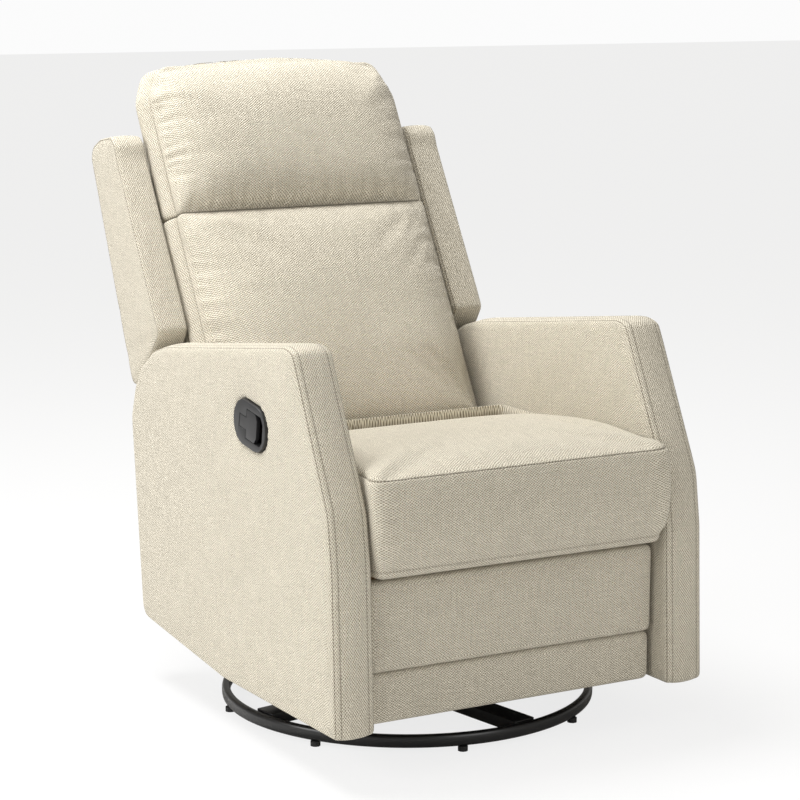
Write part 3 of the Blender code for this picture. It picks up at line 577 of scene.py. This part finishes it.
def makeSeat():
    w, f, r = seat["halfWidth"] - 0.002, seat["front"] + 0.004 + axisY, seat["rear"] - 0.001 + axisY
    loop = roundLoop([(-w, f), (w, f), (w, r, 0.02), (-w, r, 0.02)], seat["corner"], seat["step"])
    tall = seat["seam"] - seat["bottom"]
    rings = [(0.030, 0.000), (0.012, 0.0012), (0.004, 0.004), (0.0012, 0.010), (0.0018, 0.0145), (0.0002, 0.0190)]
    for t in np.linspace(0.18, 0.90, 12):
        rings.append((-seat["bulge"] * math.sin(math.pi * t) ** 0.8, tall * t))
    rings += [(-0.0010, tall - 0.007), (0.0004, tall - 0.0030), (0.0022, tall - 0.0010), (0.0050, tall), (0.0032, tall + 0.0014),
              (0.0056, tall + 0.0048)]
    along = [0.0, 0.05, 0.14, 0.22, 0.32, 0.42, 0.50]
    crowns = [0.000, 0.012, 0.017, 0.015, 0.008, 0.002, 0.000]  # the top rolls over at the front and falls towards the back

    def place(a, b, level, edge):
        sideEdge = np.clip(w - np.abs(a), 0, 1)
        side = 1 - 0.42 * np.exp(-sideEdge / 0.045)
        line = np.interp(b - f, along, crowns)
        rise = line * side + 0.006 * (1 - np.exp(-np.maximum(edge - 0.006, 0) / 0.020))
        z = seat["bottom"] + level + np.where(level > tall + 0.004, rise, 0)
        back = np.interp(b - f, [0.16, 0.30, 0.42, 0.50], [0, -0.008, -0.028, -0.040])
        z = z + np.where(level > tall - 0.001, back, 0)
        # in front of the arms the block swells sideways, and between them there is no room to
        armFront = np.interp(z, [0.077, 0.330, 0.415, 0.610], [-0.372, -0.362, -0.350, -0.255]) + axisY
        free = np.clip((armFront - 0.003 - b) / 0.010, 0, 1) * np.clip((z - seat["bottom"]) / 0.02, 0, 1)
        x = np.where(np.abs(a) > w, np.sign(a) * w, a)
        x = x + np.sign(a) * free * np.clip((np.abs(a) - w + 0.03) / 0.03, 0, 1) * np.where(a > 0, 0.014, 0.007)
        return np.stack([x, b, z], 1)

    piece, flat, level, edge = makePillow("seatCushion", loop, rings, place, seat["step"])
    held = np.where(level < 0.012, 1.0, 0.0)
    held = np.maximum(held, np.where(np.abs(level - tall) < 0.003, 0.92, 0))
    puff(piece, 2.0, 0.011, held)
    markSeams(piece, level, edge, [(tall, 0.0050, 0.8), (0.0145, 0.0018, 0.35)])
    a, b, level, edge = makeFiner(piece, flat[:, 0], flat[:, 1], level, edge)
    flat = np.stack([a, b], 1)
    points, normals = readPoints(piece), readNormals(piece)
    top = np.clip((level - tall) / 0.010, 0, 1)
    folds = [
        ((-0.20, axisY - 0.375), (-0.10, axisY - 0.300), 0.010, -0.0014), ((0.21, axisY - 0.375), (0.13, axisY - 0.285), 0.011, -0.0014),
        ((-0.255, axisY - 0.27), (-0.15, axisY - 0.24), 0.012, -0.0012), ((0.255, axisY - 0.22), (0.14, axisY - 0.20), 0.012, -0.0013),
        ((-0.26, axisY - 0.10), (-0.17, axisY - 0.09), 0.012, -0.0012), ((0.02, axisY - 0.372), (0.03, axisY - 0.32), 0.014, -0.0007),
    ]
    for start, end, wide, high in folds:
        away, t = lineDistance(points[:, :2], start, end)
        points += normals * (top * high * np.exp(-(away / wide) ** 2) * np.clip(1.2 - t, 0, 1))[:, None]
    swell = np.sin(points[:, 0] * 19 + 1) * np.sin(points[:, 1] * 23) * 0.0011
    points += normals * (swell * np.clip(edge / 0.05, 0, 1) * top)[:, None]
    along = points[:, 0]
    seamGap = np.clip(1 - np.abs(level - tall) / 0.014, 0, 1) * (np.abs(level - tall) > 0.0005)
    pucker = np.sin(along * 330 + np.sin(along * 71) * 2) * 0.00045 + np.sin(along * 151) * 0.0005
    points += normals * (pucker * seamGap * (points[:, 1] < axisY - 0.33))[:, None]
    writePoints(piece, points)
    return finishPiece(piece, "carrier", ["seat_cushion"], fabric, 1)


seatCushion = makeSeat()
print("seat made")


# ---- back cushions --------------------------------------------------------------------------------------------------
def backPlace(x, reach, depth):
    """Points on the leaning back: how far up it, and how deep behind the seam line."""
    y = hinge[0] + reach * math.sin(lean) + depth * math.cos(lean) + axisY
    z = hinge[1] + reach * math.cos(lean) - depth * math.sin(lean)
    return np.stack([x, y, z], 1)


crease = 0.4132  # how far up the back the crease is
lumbar = {
    "halfWidth": 0.2585, "bottom": -0.028, "top": crease - 0.0006, "step": 0.009,
    "reaches": [-0.030, 0.010, 0.120, 0.260, 0.340, 0.385, 0.400, 0.408, 0.4126],
    "depths": [-0.006, -0.026, -0.036, -0.034, -0.029, -0.020, -0.011, 0.000, 0.012],
}
head = {
    "halfWidth": 0.2565, "bottom": crease + 0.0006, "top": 0.7090, "step": 0.009,
    "reaches": [0.4138, 0.4190, 0.4280, 0.4420, 0.4700, 0.5400, 0.6200, 0.6700, 0.7000],
    "depths": [0.012, -0.002, -0.014, -0.022, -0.030, -0.035, -0.036, -0.030, -0.016],
}
backDepths = {"rear": 0.0595, "seam": 0.0270, "seamInset": 0.0165}
# how the side strip bulges out behind the seam, and the face turns in to it: (inset, depth)
backRings = [(0.0300, 0.0595), (0.0060, 0.0590), (0.0025, 0.0565), (0.0004, 0.0520), (0.0000, 0.0470), (0.0018, 0.0420), (0.0055, 0.0370),
             (0.0102, 0.0325), (0.0140, 0.0295), (0.0172, 0.0280), (0.0180, 0.0270), (0.0166, 0.0256), (0.0160, 0.0230), (0.0165, 0.0190),
             (0.0180, 0.0145), (0.0205, 0.0100)]


def scatter(count, low, high, seed):
    """Uneven places between two ends, the same each run."""
    rough = np.random.default_rng(seed)
    return low + (high - low) * (np.arange(count) + rough.uniform(0.1, 0.9, count)) / count, rough


def makeBackCushion(name, node, look, corners, creaseAt, seed):
    loop = roundLoop(corners, 0.012, look["step"])
    half, anchor = look["halfWidth"], creaseAt
    far = loop[:, 1].max() if creaseAt < 0.5 * (loop[:, 1].min() + loop[:, 1].max()) else loop[:, 1].min()
    counted = (np.abs(loop[:, 1] - creaseAt) > 0.002) & (loop[:, 1] > lumbar["bottom"] + 0.002)

    def shrink(loop, amount):
        pulled = loop.copy()
        pulled[:, 0] *= 1 - amount / half
        pulled[:, 1] = anchor + (loop[:, 1] - anchor) * (1 - 0.3 * amount / abs(far - anchor))
        return pulled

    rings = [(inset, backDepths["rear"] - depth) for inset, depth in backRings]
    last = rings[-1][1]

    def place(a, b, level, edge):
        front = np.interp(b, look["reaches"], look["depths"])
        away = loopDistance(np.stack([a, b], 1), loop, counted) - 0.0205
        turn = 1 - np.exp(-np.maximum(away, 0) / 0.030)
        dome = 0.006 * (a / half) ** 2
        ringDepth = backDepths["rear"] - level
        face = ringDepth + (np.minimum(front + dome, 0.010) - ringDepth) * turn
        nearCrease = np.exp(-np.abs(b - creaseAt) / 0.005)
        depth = np.where(level >= last - 1e-6, face, ringDepth)
        depth = np.where(level >= last - 1e-6, depth + nearCrease * np.maximum(0.014 - depth, 0), depth)
        return backPlace(a, b, depth)

    piece, flat, level, edge = makePillow(name, loop, rings, place, look["step"], shrink=shrink)
    seamLevel = backDepths["rear"] - backDepths["seam"]
    held = np.where(level < 0.012, 1.0, 0.0)
    held = np.maximum(held, np.where(np.abs(level - seamLevel) < 0.002, 0.95, 0))
    held = np.maximum(held, np.exp(-(np.abs(flat[:, 1] - creaseAt) / 0.005) ** 2))
    puff(piece, 1.8, 0.012, held)
    markSeams(piece, level, edge, [(seamLevel, 0.0180, 1.0)])
    a, b, level, edge = makeFiner(piece, flat[:, 0], flat[:, 1], level, edge)
    flat = np.stack([a, b], 1)
    points, normals = readPoints(piece), readNormals(piece)
    front = np.clip((level - seamLevel - 0.004) / 0.010, 0, 1)
    off = np.abs(flat[:, 1] - creaseAt)
    x = flat[:, 0]
    lift = np.zeros(len(points))
    spots, rough = scatter(30, -half + 0.03, half - 0.03, seed)
    for spot in spots:  # small gathers along the crease
        wide, long, deep = rough.uniform(0.0035, 0.0060), rough.uniform(0.010, 0.036), rough.uniform(0.0012, 0.0052) * look["gathers"]
        slope = rough.uniform(-0.35, 0.35)
        lift -= deep * np.exp(-((x - spot - slope * off) / (wide + 0.12 * off)) ** 2) * np.exp(-off / long) * np.clip(off / 0.003, 0, 1)
    for side in (-1, 1):
        low, high = look["puckers"]
        spots, rough = scatter(14, low, high, seed + side + 5)
        for spot in spots:  # short puckers running in from the side seam
            inward = half - 0.020 - side * x
            wide, long, deep = rough.uniform(0.0040, 0.0065), rough.uniform(0.012, 0.038), rough.uniform(0.0012, 0.0042)
            drop = rough.uniform(0.10, 0.45)
            lift -= deep * np.exp(-((flat[:, 1] - spot + drop * inward) / (wide + 0.10 * np.abs(inward))) ** 2) * np.exp(-np.abs(inward) / long)
    points += normals * (lift * front)[:, None]
    for start, end, wide, high in look["folds"]:
        away, t = lineDistance(flat, start, end)
        points += normals * (front * high * np.exp(-(away / wide) ** 2) * np.clip(1.15 - t, 0, 1))[:, None]
    swell = np.sin(x * 17 + 0.7) * np.sin(flat[:, 1] * 19 + 1.3) * 0.0016
    points += normals * (swell * front * np.clip(off / 0.05, 0, 1))[:, None]
    writePoints(piece, points)
    return finishPiece(piece, "backrest", [node], fabric, 1)


lumbar["puckers"], lumbar["gathers"] = (0.16, 0.36), 0.35
head["puckers"], head["gathers"] = (0.47, 0.66), 1.0
lumbar["folds"] = [
    ((-0.258, 0.300), (-0.170, 0.270), 0.010, -0.0016), ((-0.258, 0.345), (-0.150, 0.335), 0.012, -0.0014),
    ((0.258, 0.300), (0.190, 0.280), 0.010, -0.0010), ((0.258, 0.215), (0.175, 0.200), 0.012, -0.0012),
    ((-0.258, 0.160), (-0.180, 0.150), 0.012, -0.0012), ((0.258, 0.080), (0.150, 0.060), 0.014, -0.0014),
]
head["folds"] = [
    ((-0.255, 0.640), (-0.185, 0.600), 0.010, -0.0018), ((-0.255, 0.600), (-0.170, 0.560), 0.011, -0.0016),
    ((0.255, 0.640), (0.190, 0.605), 0.010, -0.0018), ((-0.255, 0.520), (-0.180, 0.500), 0.012, -0.0014),
    ((0.255, 0.530), (0.180, 0.515), 0.012, -0.0014), ((-0.200, 0.705), (-0.170, 0.650), 0.010, -0.0012),
]
w = lumbar["halfWidth"]
lumbarCorners = [(-w, lumbar["bottom"], 0.02), (w, lumbar["bottom"], 0.02), (w, lumbar["top"], 0.002), (-w, lumbar["top"], 0.002)]
lumbarCushion = makeBackCushion("lumbarCushion", "lumbar_cushion", lumbar, lumbarCorners, lumbar["top"], 11)
w = head["halfWidth"]
headCorners = [(-w, head["bottom"], 0.002), (w, head["bottom"], 0.002), (w, 0.640, 0.06), (w - 0.026, 0.6980, 0.034), (0.0, head["top"], 0.30),
               (-w + 0.026, 0.6980, 0.034), (-w, 0.640, 0.06)]
headCushion = makeBackCushion("headCushion", "head_cushion", head, headCorners, head["bottom"], 23)
print("back cushions made")


# ---- wings ----------------------------------------------------------------------------------------------------------
wing = {
    "inner": 0.2606, "outer": 0.3215, "step": 0.0075,
    "outline": [
        (0.282, 0.603, 0.008), (0.446, 0.884, 0.040), (0.455, 0.908, 0.012), (0.472, 0.921, 0.012), (0.522, 0.914, 0.020),
        (0.556, 0.898, 0.016), (0.564, 0.876, 0.014), (0.404, 0.508, 0.030), (0.392, 0.496, 0.008), (0.368, 0.506, 0.010),
        (0.306, 0.570, 0.010),
    ],
}


def makeWing(name, node, side):
    loop = roundLoop(wing["outline"], 0.012, wing["step"])
    loop[:, 0] += axisY
    width = wing["outer"] - wing["inner"]
    half = [(0.012, 0.0), (0.0062, 0.0004), (0.0032, 0.0014), (0.0026, 0.0028), (0.0008, 0.0036), (-0.0002, 0.0062),
            (-0.0010, 0.0100), (-0.0016, 0.0150), (-0.0020, 0.0210)]
    rings = [(i + 0.002, width - d) for i, d in half] + [(-0.0002, width / 2)] + [(i + 0.002, d) for i, d in half[::-1]]

    def place(a, b, level, edge):
        crown = 0.0022 * (1 - np.exp(-np.maximum(edge - 0.005, 0) / 0.03))
        x = wing["outer"] - np.where(level < 0.002, level - crown + 0.0022, level)
        return np.stack([side * x, a, b], 1)

    piece, flat, level, edge = makePillow(name, loop, rings, place, wing["step"] * 1.2)
    points, normals = readPoints(piece), readNormals(piece)
    for start, end, wide, high in (((0.30, 0.615), (0.45, 0.62), 0.006, -0.0010), ((0.29, 0.60), (0.42, 0.545), 0.008, -0.0012)):
        away, t = lineDistance(flat - np.array([axisY, 0]), start, end)
        points += normals * (high * np.exp(-(away / wide) ** 2))[:, None]
    writePoints(piece, points)
    markSeams(piece, level, edge, [(0.0028, 0.0046, 0.9), (width - 0.0028, 0.0046, 0.9)])
    return finishPiece(piece, "backrest", [node], fabric, 1)


wingLeft = makeWing("wingLeft", "wing_left", -1)
wingRight = makeWing("wingRight", "wing_right", 1)
print("wings made")


# ---- leg rest -------------------------------------------------------------------------------------------------------
footLow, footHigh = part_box("footrest_pad")
legRest = {"tuck": 0.160, "step": 0.008, "band": 0.0085, "rear": footHigh.y}


def makeLegPad(name, low, high, forward, swell, seed):
    x = footHigh.x - 0.0005
    loop = roundLoop([(-x, low), (x, low), (x, high), (-x, high)], 0.010, legRest["step"])
    front = footHigh.y - footLow.y - forward
    rings = [(0.006, 0.0), (0.0008, 0.0008), (0.0000, 0.004)] + [(-0.0003, front * t) for t in (0.25, 0.45)]
    rings += [(0.0, front - 0.0120), (0.0006, front - 0.0080), (0.0022, front - 0.0045), (0.0050, front - 0.0020), (0.0095, front - 0.0006)]

    def place(a, b, level, edge):
        dome = swell * (1 - np.exp(-np.maximum(edge - 0.0095, 0) / 0.020))
        y = footHigh.y - level - np.where(level > front - 0.001, dome, 0)
        return np.stack([a, y, b], 1)

    piece, flat, level, edge = makePillow(name, loop, rings, place, legRest["step"])
    points, normals = readPoints(piece), readNormals(piece)
    ahead = np.clip((level - front * 0.6) / (front * 0.3), 0, 1)
    x, off = flat[:, 0], np.abs(flat[:, 1] - legRest["tuck"])
    lift = np.zeros(len(points))
    spots, rough = scatter(22, -0.25, 0.25, seed)
    for spot in spots:
        wide, long, deep = rough.uniform(0.005, 0.010), rough.uniform(0.006, 0.020), rough.uniform(0.0003, 0.0011)
        lift -= deep * np.exp(-((x - spot) / (wide + 0.1 * off)) ** 2) * np.exp(-off / long)
    lift += np.sin(x * 21 + 0.4) * np.sin(flat[:, 1] * 37) * 0.0007
    points += normals * (ahead * lift)[:, None]
    writePoints(piece, points)
    return finishPiece(piece, "footrest", ["footrest_pad"], fabric, 1)


legRestPad = makeLegPad("legRestPad", legRest["tuck"] - 0.0015, footHigh.z - 0.0005, 0.0050, 0.0050, 31)
legRestBand = makeLegPad("legRestBand", footLow.z + 0.0005, legRest["tuck"] - 0.0022, 0.0105, 0.0015, 37)
print("leg rest made")


# ---- back panel -----------------------------------------------------------------------------------------------------
shell = {"low": 0.022, "high": 0.690, "halfLow": 0.2585, "halfTop": 0.208, "step": 0.010}


def rearDepth(reach):
    return np.interp(reach, [0.0, 0.171, 0.5975, 0.66, 0.70], [0.181, 0.181, 0.137, 0.118, 0.096])


def makeBackShell():
    w, t = shell["halfLow"], shell["halfTop"]
    corners = [(-w, shell["low"]), (w, shell["low"]), (w, 0.46, 0.08), (t + 0.018, 0.58, 0.10), (t, shell["high"], 0.030),
               (-t, shell["high"], 0.030), (-t - 0.018, 0.58, 0.10), (-w, 0.46, 0.08)]
    loop = roundLoop(corners, 0.020, shell["step"])
    rings = [(0.0200, 1.0), (0.0100, 0.995), (0.0045, 0.985), (0.0024, 0.970), (0.0030, 0.955), (0.0010, 0.940), (0.0000, 0.90)]
    rings += [(0.0, s) for s in np.linspace(0.80, 0.10, 8)] + [(0.0, 0.03), (0.001, 0.0), (0.010, 0.0)]

    def place(a, b, level, edge):
        front = 0.0605
        rear = rearDepth(b) + 0.006 * (1 - np.exp(-np.maximum(edge - 0.01, 0) / 0.06)) * (level > 0.999) - 0.006
        return backPlace(a, b, front + (rear - front) * level)

    piece, flat, level, edge = makePillow("backPanel", loop, rings, place, shell["step"])
    return finishPiece(piece, "backrest", ["rear_panel", "back_cap"], fabric, 1)


backShell = makeBackShell()
print("back panel made")


# ---- base ring ------------------------------------------------------------------------------------------------------
def makeRing():
    bm = bmesh.new()
    section = []
    middle = Vector(((ringHigh.x - 0.007), axisY, (ringLow.z + ringHigh.z) / 2))
    for k in range(24):
        angle = 2 * math.pi * k / 24
        shape = lambda c: math.copysign(abs(c) ** 0.62, c)
        section.append(bm.verts.new(middle + Vector((shape(math.cos(angle)) * 0.007, 0, shape(math.sin(angle)) * (ringHigh.z - ringLow.z) / 2))))
    edges = [bm.edges.new((section[k], section[(k + 1) % 24])) for k in range(24)]
    bmesh.ops.spin(bm, geom=section + edges, cent=(0, axisY, 0), axis=(0, 0, 1), angle=2 * math.pi, steps=180, use_merge=True)
    bmesh.ops.recalc_face_normals(bm, faces=bm.faces)
    mesh = bpy.data.meshes.new("baseRing")
    bm.to_mesh(mesh)
    bm.free()
    mesh.polygons.foreach_set("use_smooth", [True] * len(mesh.polygons))
    ring = bpy.data.objects.new("baseRing", mesh)
    bpy.context.scene.collection.objects.link(ring)
    return finishPiece(ring, "base", ["base_ring"], blackPaint)


baseRing = makeRing()


def refine(name, node, body, width, segments=2, limit=35):
    """A finer copy of a CAD part: flat faces joined and its sharp edges rounded."""
    bm = bmesh.new()
    bm.from_mesh(nodes[node].data)
    bmesh.ops.remove_doubles(bm, verts=bm.verts, dist=0.00002)
    bmesh.ops.dissolve_limit(bm, angle_limit=math.radians(1.5), verts=bm.verts, edges=bm.edges)
    sharp = [e for e in bm.edges if len(e.link_faces) == 2 and e.calc_face_angle(0) > math.radians(limit)]
    bmesh.ops.bevel(bm, geom=sharp, offset=width, offset_type="OFFSET", affect="EDGES", segments=segments, profile=0.5, material=-1, clamp_overlap=True)
    bmesh.ops.triangulate(bm, faces=[f for f in bm.faces if len(f.verts) > 4])
    mesh = bpy.data.meshes.new(name)
    bm.to_mesh(mesh)
    bm.free()
    mesh.polygons.foreach_set("use_smooth", [True] * len(mesh.polygons))
    mesh.set_sharp_from_angle(angle=math.radians(40))
    piece = bpy.data.objects.new(name, mesh)
    bpy.context.scene.collection.objects.link(piece)
    return finishPiece(piece, body, [node], nodes[node].data.materials[0])


bezel = refine("handleBezel", "handle_bezel", "carrier", 0.0012, 3)
paddle = refine("releasePaddle", "release_paddle", "handle", 0.0012, 3)
cross = refine("baseCross", "base_cross", "base", 0.0012)
print("hard parts made")


# ---- floor, light and camera ----------------------------------------------------------------------------------------
studio = {"fill": 0.37}


def makeStudio():
    bm = bmesh.new()
    bmesh.ops.create_grid(bm, x_segments=1, y_segments=1, size=30)
    mesh = bpy.data.meshes.new("floor")
    bm.to_mesh(mesh)
    bm.free()
    floor = bpy.data.objects.new("floor", mesh)
    floor.location = (0, 0, cadSize[0].z)
    bpy.context.scene.collection.objects.link(floor)
    material = bpy.data.materials.new("paleFloor")
    material.use_nodes = True
    tree = material.node_tree
    shader = tree.nodes["Principled BSDF"]
    shader.inputs["Base Color"].default_value = (0.80, 0.80, 0.80, 1)
    shader.inputs["Roughness"].default_value = 0.9
    # the floor and the backdrop look paler to the camera than the light they send to the chair
    seen = addNode(tree, "ShaderNodeLightPath")
    pale = addNode(tree, "ShaderNodeEmission", {"Strength": 1.0})
    share = compute(tree, "MULTIPLY", seen.outputs["Is Camera Ray"], 0.80)
    mixed = addNode(tree, "ShaderNodeMixShader", {0: share, 1: shader.outputs[0], 2: pale.outputs[0]})
    tree.links.new(mixed.outputs[0], tree.nodes["Material Output"].inputs["Surface"])
    floor.data.materials.append(material)
    world = bpy.data.worlds.new("studio")
    world.use_nodes = True
    tree = world.node_tree
    seen = addNode(tree, "ShaderNodeLightPath")
    white = addNode(tree, "ShaderNodeBackground", {"Color": (1, 1, 1, 1), "Strength": 0.97})
    tree.nodes["Background"].inputs[0].default_value = (1.0, 0.965, 0.90, 1)
    tree.nodes["Background"].inputs[1].default_value = studio["fill"]
    both = addNode(tree, "ShaderNodeMixShader", {0: seen.outputs["Is Camera Ray"], 1: tree.nodes["Background"].outputs[0], 2: white.outputs[0]})
    tree.links.new(both.outputs[0], tree.nodes["World Output"].inputs["Surface"])
    bpy.context.scene.world = world
    lights = [("key", (-3.2, -0.4, 1.5), 2.0, 68), ("top", (-0.6, 0.7, 3.2), 1.6, 112), ("front", (0.6, -3.6, 1.3), 1.8, 27)]
    for name, spot, size, power in lights:
        data = bpy.data.lights.new(name, "AREA")
        data.shape, data.size, data.energy = "DISK", size, power
        lamp = bpy.data.objects.new(name, data)
        lamp.location = spot
        lamp.rotation_euler = (Vector((0, 0, 0.5)) - Vector(spot)).to_track_quat("-Z", "Y").to_euler()
        bpy.context.scene.collection.objects.link(lamp)
    camera = bpy.data.objects.new("camera", bpy.data.cameras.new("camera"))
    bpy.context.scene.collection.objects.link(camera)
    azimuth, down, distance = math.radians(-29.5), math.radians(10.06), 3.99
    back = Vector((math.sin(azimuth) * math.cos(down), -math.cos(azimuth) * math.cos(down), math.sin(down)))
    camera.location = Vector((-0.011, axisY + 0.005, 0.505)) + back * distance
    camera.rotation_euler = (-back).to_track_quat("-Z", "Y").to_euler()
    camera.data.lens = 109.1
    bpy.context.scene.camera = camera
    bpy.context.scene.view_settings.view_transform = "Standard"


makeStudio()
